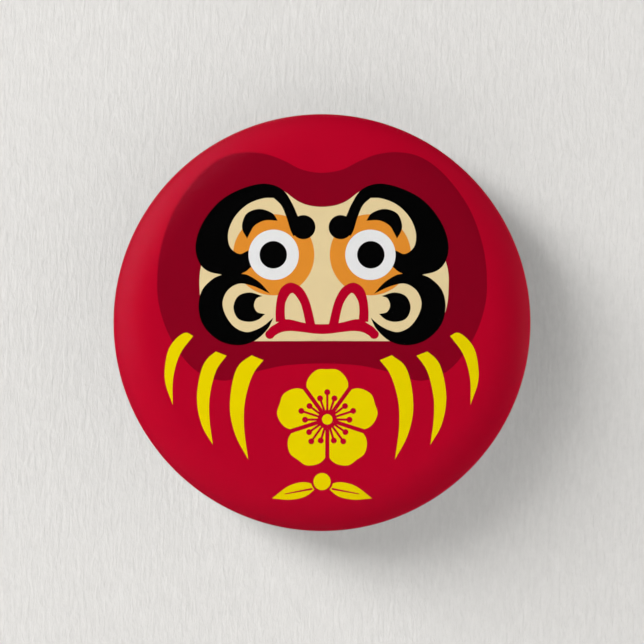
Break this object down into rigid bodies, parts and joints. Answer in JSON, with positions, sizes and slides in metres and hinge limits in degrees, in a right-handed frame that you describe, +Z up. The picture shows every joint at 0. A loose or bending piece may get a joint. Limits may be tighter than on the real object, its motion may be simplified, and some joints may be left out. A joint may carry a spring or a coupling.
{
  "type": "pin-back button badge",
  "caption": "Round domed pin-back button badge with a printed face under clear film, and a bar-lock pin with a swinging needle on its back.",
  "frame": {"origin": "centre of the rear rim, in the plane of the flat ring that lies against the cloth", "axes": "+Y out of the back, away from the face; +Z up, towards the top of the picture; +X to the right of a viewer of the face"},
  "size_m": [0.032, 0.0085, 0.032],
  "materials": {
    "clear_film": "clear glossy polyester film",
    "printed_paper": "printed paper, red ground",
    "tinplate": "bright tinplate, lightly brushed",
    "plated_steel": "nickel-plated pressed steel",
    "needle_steel": "polished drawn wire"
  },
  "bodies": {
    "badge": {"clear_film": "clear_film", "printed_paper": "printed_paper", "front_shell": "tinplate", "back_plate": "tinplate", "pin_bar": "plated_steel", "hinge_rivet": "plated_steel"},
    "needle": {"needle": "needle_steel"},
    "lock_barrel": {"lock_barrel": "plated_steel"}
  },
  "joints": [
    {"name": "needle_hinge", "type": "hinge", "parent": "badge", "child": "needle", "pos_m": [-0.0086, 0.0023, 0.0025], "axis": [0, 0, 1], "range_deg": [0, 105]},
    {"name": "lock_turn", "type": "hinge", "parent": "badge", "child": "lock_barrel", "pos_m": [0.00775, 0.0023, 0.0025], "axis": [1, 0, 0], "range_deg": [0, 100]}
  ]
}
